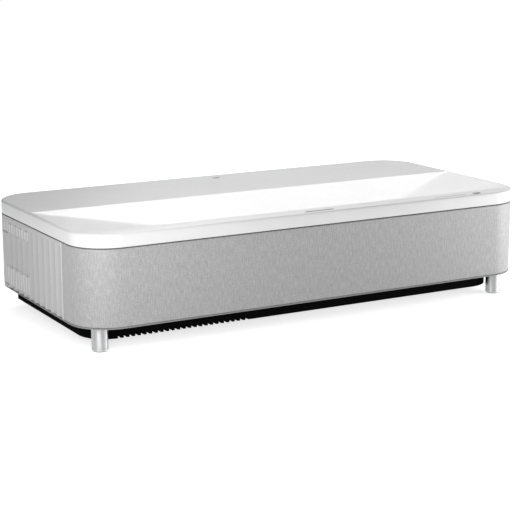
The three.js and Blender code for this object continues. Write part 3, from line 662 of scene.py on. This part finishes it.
def slot_edges():
    middles = [BAND_Y[0] + (i + 0.5) * SLOT_PITCH for i in range(SLOT_COUNT)]
    return [(middle - SLOT_W / 2, middle + SLOT_W / 2) for middle in middles]


def side_plan(start, end, extra):
    """Plan of the left side from the front, at the given places: straight, then round the corner."""
    edges = [y for pair in slot_edges() for y in pair] + extra
    crests = [cover_low.y + i * FLUTE_PITCH for i in range(FLUTE_COUNT + 1)]
    front = BAND_Y[0] + END_MARGIN
    band_ends = [front, front + END_RAMP, BAND_Y[1] - END_RAMP, BAND_Y[1]]
    marks = [y for y in merged(edges, crests, band_ends, [start, end]) if start <= y <= end]
    steps = evenly(start, min(end, CORNER_Y), 1.7 * MM)
    between = [y for y in steps if all(abs(y - m) > 0.8 * MM for m in marks)]
    if end > CORNER_Y:
        turns = [math.degrees(math.asin((y - CORNER_Y) / CORNER_R)) for y in marks if y > CORNER_Y + 0.1 * MM]
        angles = merged(turns, [0], [a for a in range(12, 91, 5)] + [90], closest=0.3)
        turned = [math.radians(a) for a in angles]
        arc = [(-CORNER_X - CORNER_R * math.cos(a), CORNER_Y + CORNER_R * math.sin(a)) for a in turned]
    else:
        arc = []
    straight = [(-HALF_X, y) for y in merged(marks, between) if y < CORNER_Y - 0.4 * MM or not arc]
    return straight + arc


def button_bores():
    """Two round plugs, a little wider than the buttons, to cut their holes with."""
    vertices, faces = [], []
    for name in ("power_button", "source_button"):
        low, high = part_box(name)
        radius = (high.y - low.y) / 2 + GAP
        outline = [(0, low.x - WALL), (radius, low.x - WALL), (radius, high.x + WALL), (0, high.x + WALL)]
        points, quads = lathe(outline, (0, (low.y + high.y) / 2, (low.z + high.z) / 2), "X")
        faces += [tuple(index + len(vertices) for index in quad) for quad in quads]
        vertices += points
    plugs = new_piece("button_bores", vertices, faces, SIDE_GREY)
    clean(plugs)
    return plugs


def side_grid(name, plan, levels, openings, side, plugs=None, **facts):
    """A fluted panel of even thickness with slots. Side is -1 for the left, 1 for the right."""
    vertices = []
    for z in levels:
        for x, y in plan:
            depth = sunk(y, z) if x < -CORNER_X else 0.0
            vertices.append(Vector((-side * (x + depth), y, z)))
    holes = [(edges, z_band) for edges in slot_edges() for z_band in (LOWER_SLOT_Z, UPPER_SLOT_Z)]

    def skip(r, c):
        x = min(plan[c][0], plan[c + 1][0])
        y = (plan[c][1] + plan[c + 1][1]) / 2
        z = (levels[r] + levels[r + 1]) / 2
        return x < -CORNER_X and any(a < y < b and low < z < high for (a, b), (low, high) in holes + openings)

    faces = grid_faces(len(levels), len(plan), skip)
    if side < 0:
        faces = [tuple(reversed(face)) for face in faces]
    piece = new_piece(name, vertices, faces, SIDE_GREY, slot="side_plastic", **facts)
    clean(piece, outward=False)
    thicken(piece, WALL)
    if plugs:
        cut = piece.modifiers.new("holes", "BOOLEAN")
        cut.operation = "DIFFERENCE"
        cut.solver = "EXACT"
        cut.object = plugs
    soften(piece, 0.3 * MM)
    settle(piece, PANEL_ANGLE)
    for vertex in piece.data.vertices:
        vertex.co.x = min(max(vertex.co.x, -HALF_X), HALF_X)
    return piece


def keep_within(piece, low, high):
    """Squares a panel's edges, which lean with the flutes, to the box it fits in."""
    for vertex in piece.data.vertices:
        vertex.co.y = min(max(vertex.co.y, low.y), high.y)
        vertex.co.z = min(max(vertex.co.z, low.z), high.z)


def keep_clear(piece, opening):
    """Moves the points that lean into an opening back to its nearest edge."""
    y_edges, z_edges = opening
    for vertex in piece.data.vertices:
        y_gap = min(vertex.co.y - y_edges[0], y_edges[1] - vertex.co.y)
        z_gap = min(vertex.co.z - z_edges[0], z_edges[1] - vertex.co.z)
        if min(y_gap, z_gap) <= 0:
            continue
        if y_gap < z_gap:
            vertex.co.y = min(y_edges, key=lambda edge: abs(edge - vertex.co.y))
        else:
            vertex.co.z = min(z_edges, key=lambda edge: abs(edge - vertex.co.z))


def side_x(y, z):
    """Where the left side's surface lies at y, round the rear corner too."""
    past = max(0.0, y - CORNER_Y)
    return -CORNER_X - math.sqrt(CORNER_R ** 2 - past ** 2) + sunk(y, z)


def make_blades(name, places, z_band, side, **facts):
    """Louvre blades with a painted highlight, whiter than the grey side: one slants back across each slot, on
    a foot that slopes up and in.
    """
    low, high = z_band
    thickness = 0.7 * MM
    clear = 0.6 * MM
    slant = 1.5 * MM
    foot_slope = 1.4
    vertices, faces = [], []
    for front, rear in places:
        outer = side_x(rear, (low + high) / 2) + GAP
        inner = side_x(front, (low + high) / 2) + slant
        plan = [(outer, rear), (outer + thickness, rear)]
        plan += [(inner + thickness, front + clear), (inner, front + clear)]
        rings = [[(x, y, z) for x, y in plan] for z in (low, high)]
        foot = [(outer, front), (inner, front), (inner, rear), (outer, rear)]
        rings += [[(x, y, low) for x, y in foot], [(x, y, low + (x - outer) * foot_slope) for x, y in foot]]
        for pair in (rings[:2], rings[2:]):
            start = len(vertices)
            vertices += [(-side * x, y, z) for ring in pair for x, y, z in ring]
            faces += [(start, start + 1, start + 2, start + 3), (start + 4, start + 7, start + 6, start + 5)]
            for i in range(4):
                after = start + (i + 1) % 4
                faces.append((start + i, after, after + 4, start + 4 + i))
    # The blades' whiter colour is a painted highlight in the slots.
    blades = new_piece(name, vertices, faces, LOUVRE_HIGHLIGHT_WHITE, slot="white_plastic", **facts)
    clean(blades)
    shade(blades.data, 20)


def side_levels(low, high, extra):
    bands = []
    for band_low, band_high in (LOWER_SLOT_Z, UPPER_SLOT_Z):
        bands += [band_low - LEDGE_H, band_low, band_high, band_high + STEP_H]
    fade = evenly(cover_high.z - FADE_H[1], cover_high.z - FADE_H[0], 1 * MM)
    marks = [z for z in merged(bands, fade, extra, [low, high], closest=0.2 * MM) if low <= z <= high]
    between = [z for z in evenly(low, high, 6 * MM) if all(abs(z - m) > 1.5 * MM for m in marks)]
    return merged(marks, between)


def make_side_covers():
    around = ((filter_low.y - GAP, filter_high.y + GAP), (filter_low.z - GAP, filter_high.z + GAP))
    rear = (cover_high.x, HALF_Y)
    plan = side_plan(cover_low.y, BAND_Y[1], list(around[0])) + [rear]
    levels = side_levels(cover_low.z, cover_high.z, list(around[1]))
    shell = side_grid("left_cover_shell", plan, levels, [around], -1, replaces=["left_side_cover"])
    keep_clear(shell, around)
    plan = side_plan(cover_low.y, BAND_Y[1], []) + [rear]
    levels = side_levels(cover_low.z, cover_high.z, [])
    plugs = button_bores()
    side_grid("right_cover_shell", plan, levels, [], 1, plugs, replaces=["right_side_cover"])
    bpy.data.objects.remove(plugs)
    plan = side_plan(filter_low.y, filter_high.y, [])
    levels = side_levels(filter_low.z, filter_high.z, [])
    panel = side_grid("filter_cover_panel", plan, levels, [], -1, body="filter_drawer",
                      replaces=["filter_cover"])
    keep_within(panel, filter_low, filter_high)
    slots = slot_edges()
    in_drawer = [slot for slot in slots if slot[1] < filter_high.y]
    for side, word in ((-1, "left"), (1, "right")):
        make_blades("lower_louvres_" + word, slots, LOWER_SLOT_Z, side)
    make_blades("upper_louvres_right", slots, UPPER_SLOT_Z, 1)
    make_blades("upper_louvres_left", in_drawer, UPPER_SLOT_Z, -1, body="filter_drawer")
    make_blades("corner_louvre_left", slots[len(in_drawer):], UPPER_SLOT_Z, -1)


def case_outline(inset, steps=16):
    """The case's outline in plan, anticlockwise, a little inside it."""
    radius = CORNER_R - inset
    points = rounded_corner(radius, CORNER_X, CORNER_Y, 0, 90, steps)
    points += rounded_corner(radius, -CORNER_X, CORNER_Y, 90, 180, steps)
    points += rounded_corner(radius, -CORNER_X, -CORNER_Y, 180, 270, steps)
    return points + rounded_corner(radius, CORNER_X, -CORNER_Y, 270, 360, steps)


def make_seam_shade_ring():
    """A dark grey ring in the groove under the top cover: painted shade that draws the seam's line."""
    low, high = cover_high.z - 0.6 * MM, SEAM_Z + 0.4 * MM
    outer, inner = 1.2 * MM, 2.2 * MM
    corners = ((inner, low), (outer, low), (outer, high), (inner, high))
    rings = [(case_outline(inset), z) for inset, z in corners]
    vertices = [(x, y, z) for points, z in rings for x, y in points]
    count = len(rings[0][0])
    faces = []
    for r in range(4):
        this_ring, next_ring = r * count, (r + 1) % 4 * count
        for i in range(count):
            after = (i + 1) % count
            faces.append((this_ring + i, this_ring + after, next_ring + after, next_ring + i))
    # The ring's dark grey is painted shade for the seam groove.
    seam_painted_shade = new_piece("seam_shade_ring", vertices, faces, SEAM_SHADE_GREY, slot="side_plastic")
    clean(seam_painted_shade)
    shade(seam_painted_shade.data)


# ---- Feet and marks -----------------------------------------------------------------------------

def make_front_feet():
    """Turned barrels with rounded ends, a fine groove over the lower end, and a bore for the stud."""
    for side in ("left", "right"):
        low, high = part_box("front_foot_" + side)
        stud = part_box("front_foot_stud_" + side)
        radius = (high.x - low.x) / 2
        bore = (stud[1].x - stud[0].x) / 2 + GAP
        lower_r, upper_r = 1.1 * MM, 0.5 * MM
        groove = low.z + 4 * MM
        groove_r = radius - 0.25 * MM
        outline = [(0, low.z), (radius - 1.4 * MM, low.z)]
        outline += rounded_corner(lower_r, radius - lower_r, low.z + lower_r, -90, 0, 5)
        outline += [(radius, groove), (groove_r, groove + 0.2 * MM)]
        outline += [(groove_r, groove + 0.5 * MM), (radius, groove + 0.7 * MM)]
        outline += rounded_corner(upper_r, radius - upper_r, high.z - upper_r, 0, 90, 4)
        outline += [(bore, high.z), (bore, stud[0].z), (0, stud[0].z)]
        centre = ((low.x + high.x) / 2, (low.y + high.y) / 2, 0)
        turned_piece("front_foot_barrel_" + side, outline, centre, FOOT_METAL, steps=96, body="foot_" + side,
                     slot="foot_aluminium", replaces=["front_foot_" + side])


def make_bar(name, x, y, length, width, material):
    """A plain bar on the top: a thin plate with round ends."""
    radius = width / 2
    ends = rounded_corner(radius, length / 2 - radius, 0, -90, 90, 8)
    ends += [(-a, -b) for a, b in ends]
    top = TOP_Z - 0.06 * MM
    vertices = [(x + a, y + b, top - 0.3 * MM) for a, b in ends] + [(x + a, y + b, top) for a, b in ends]
    count = len(ends)
    faces = [tuple(reversed(range(count))), tuple(range(count, 2 * count))]
    faces += [(i, (i + 1) % count, (i + 1) % count + count, i + count) for i in range(count)]
    new_piece(name, vertices, faces, material, slot="side_plastic")


make_top_cover()
make_cloth()
make_side_covers()
make_seam_shade_ring()
make_front_feet()
make_bar("ledge_bar", 0, -162 * MM, 46 * MM, 3.2 * MM, MARK_GREY)
make_bar("rear_bar", 2 * MM, 143 * MM, 12 * MM, 4 * MM, MARK_GREY)
receiver_low, receiver_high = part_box("remote_receiver")
receiver = (receiver_low + receiver_high) / 2
make_bar("receiver_rim", receiver.x, receiver.y, receiver_high.x - receiver_low.x + 4 * MM,
         receiver_high.y - receiver_low.y + 3 * MM, RECEIVER_BLACK)

# ---- Frame nodes that keep their shape ----------------------------------------------------------

LOOKS = {
    WHITE: ["trim_strip_left", "trim_strip_right"],
    LIP_GREY: ["bottom_plate"],
    SIDE_GREY: ["power_button", "source_button", "rear_panel"],
    LAMP: ["status_light"],
    RECEIVER_BLACK: ["remote_receiver"],
    DARK_GLASS: ["projection_window"],
    BLACK_SATIN: ["window_bezel", "lens_barrel", "focus_ring"],
    BASE_BLACK: ["base_case"],
    BLACK: [
        "front_grille_frame", "rear_foot_left", "rear_foot_right", "power_inlet",
        "intake_fan_frame", "intake_fan_rotor", "exhaust_fan_frame", "exhaust_fan_rotor",
        "phosphor_wheel_motor", "optical_engine_case", "speaker_box_left", "speaker_box_right",
        "speaker_cone_left", "speaker_cone_right",
    ],
    ALUMINIUM: ["heat_sink", "laser_module", "phosphor_wheel"],
    STEEL: [
        "front_foot_stud_left", "front_foot_stud_right", "hdmi_socket_1", "hdmi_socket_2", "usb_socket",
        "focus_motor", "mirror_bracket", "speaker_driver_left", "speaker_driver_right",
    ],
    COPPER: ["heat_pipe_front", "heat_pipe_rear"],
    BRASS_METAL: ["focus_pinion"],
    RUBBER: ["front_foot_pad_left", "front_foot_pad_right", "rear_foot_pad_left", "rear_foot_pad_right"],
    BOARD: ["main_board", "power_board"],
    PAPER: ["air_filter"],
    CLEAR_GLASS: ["colour_prism", "lens_front_element"],
    SILVERED: ["projection_mirror"],
}


def dress_frame():
    for material, names in LOOKS.items():
        for name in names:
            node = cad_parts[name]
            node.data.materials.clear()
            node.data.materials.append(material)
            shade(node.data, 30)


dress_frame()

# ---- Floor, light and camera --------------------------------------------------------------------


def make_floor():
    """A pale floor that glows a little, more so far from the object, so that it reads white."""
    size = 300.0
    near, far = 1.1, 2.4
    near_glow = 0.76
    corners = [(-size, -size, 0), (size, -size, 0), (size, size, 0), (-size, size, 0)]
    mesh = bpy.data.meshes.new("floor")
    mesh.from_pydata(corners, [], [(0, 1, 2, 3)])
    n = Nodes("pale_floor")
    n.set(Base_Color=(0.5, 0.5, 0.5, 1), Roughness=0.9, Emission_Color=(1, 1, 1, 1))
    away = n.add("ShaderNodeVectorMath", operation="LENGTH")
    n.link(n.place(), away.inputs[0])
    glow = n.spread(away.outputs["Value"], near_glow, 1.0, near, far)
    n.link(glow, n.shader.inputs["Emission Strength"])
    mesh.materials.append(n.material)
    floor = bpy.data.objects.new("floor", mesh)
    bpy.context.scene.collection.objects.link(floor)


def area_light(name, azimuth, elevation, distance, size, power):
    """A square soft light that looks at the object. Azimuth 0 stands in front of the cloth."""
    a, e = math.radians(azimuth), math.radians(elevation)
    direction = Vector((math.sin(a) * math.cos(e), -math.cos(a) * math.cos(e), math.sin(e)))
    light = bpy.data.lights.new(name, "AREA")
    light.shape = "SQUARE"
    light.size = size
    light.energy = power
    lamp = bpy.data.objects.new(name, light)
    lamp.location = direction * distance + Vector((0, 0, 0.08))
    lamp.rotation_mode = "QUATERNION"
    lamp.rotation_quaternion = direction.to_track_quat("Z", "Y")
    bpy.context.scene.collection.objects.link(lamp)


def make_lights():
    """A world that is white where it is seen and nearly dark as a light, and six soft squares."""
    world_glow = 0.01
    world = bpy.data.worlds.new("studio")
    world.use_nodes = True
    tree = world.node_tree
    background = tree.nodes["Background"]
    background.inputs["Color"].default_value = (1, 1, 1, 1)
    path = tree.nodes.new("ShaderNodeLightPath")
    strength = tree.nodes.new("ShaderNodeMath")
    strength.operation = "MAXIMUM"
    strength.inputs[1].default_value = world_glow
    tree.links.new(path.outputs["Is Camera Ray"], strength.inputs[0])
    tree.links.new(strength.outputs["Value"], background.inputs["Strength"])
    bpy.context.scene.world = world
    area_light("key_left", -47, 20, 0.75, 0.4, 2.7)
    area_light("side_left", -62, 22, 0.85, 0.4, 0.8)
    area_light("low_right", 62, 8, 0.85, 0.35, 3.6)
    area_light("front_right", 40, 8, 1.3, 0.5, 1.5)
    area_light("rear_wall", 144, 39, 3.0, 1.8, 72)
    area_light("over", -172, 56, 2.2, 1.2, 12)


def make_camera():
    """A long lens at the front left, a little above the object."""
    place = (-1.0417, -1.8614, 0.5367)
    azimuth, elevation, roll = -29.04, 12.53, -0.19
    a, e, r = (math.radians(v) for v in (azimuth, elevation, roll))
    back = Vector((math.sin(a) * math.cos(e), -math.cos(a) * math.cos(e), math.sin(e)))
    right = (-back).cross(Vector((0, 0, 1))).normalized()
    up = back.cross(right)
    turned_right = right * math.cos(r) + up * math.sin(r)
    turned_up = up * math.cos(r) - right * math.sin(r)
    data = bpy.data.cameras.new("camera")
    data.lens = 105.55
    data.sensor_width = 36.0
    camera = bpy.data.objects.new("camera", data)
    rotation = Matrix((turned_right, turned_up, back)).transposed().to_4x4()
    camera.matrix_world = Matrix.Translation(place) @ rotation
    bpy.context.scene.collection.objects.link(camera)
    bpy.context.scene.camera = camera


make_floor()
make_lights()
make_camera()
bpy.context.scene.view_settings.view_transform = "Standard"

bpy.context.view_layer.update()
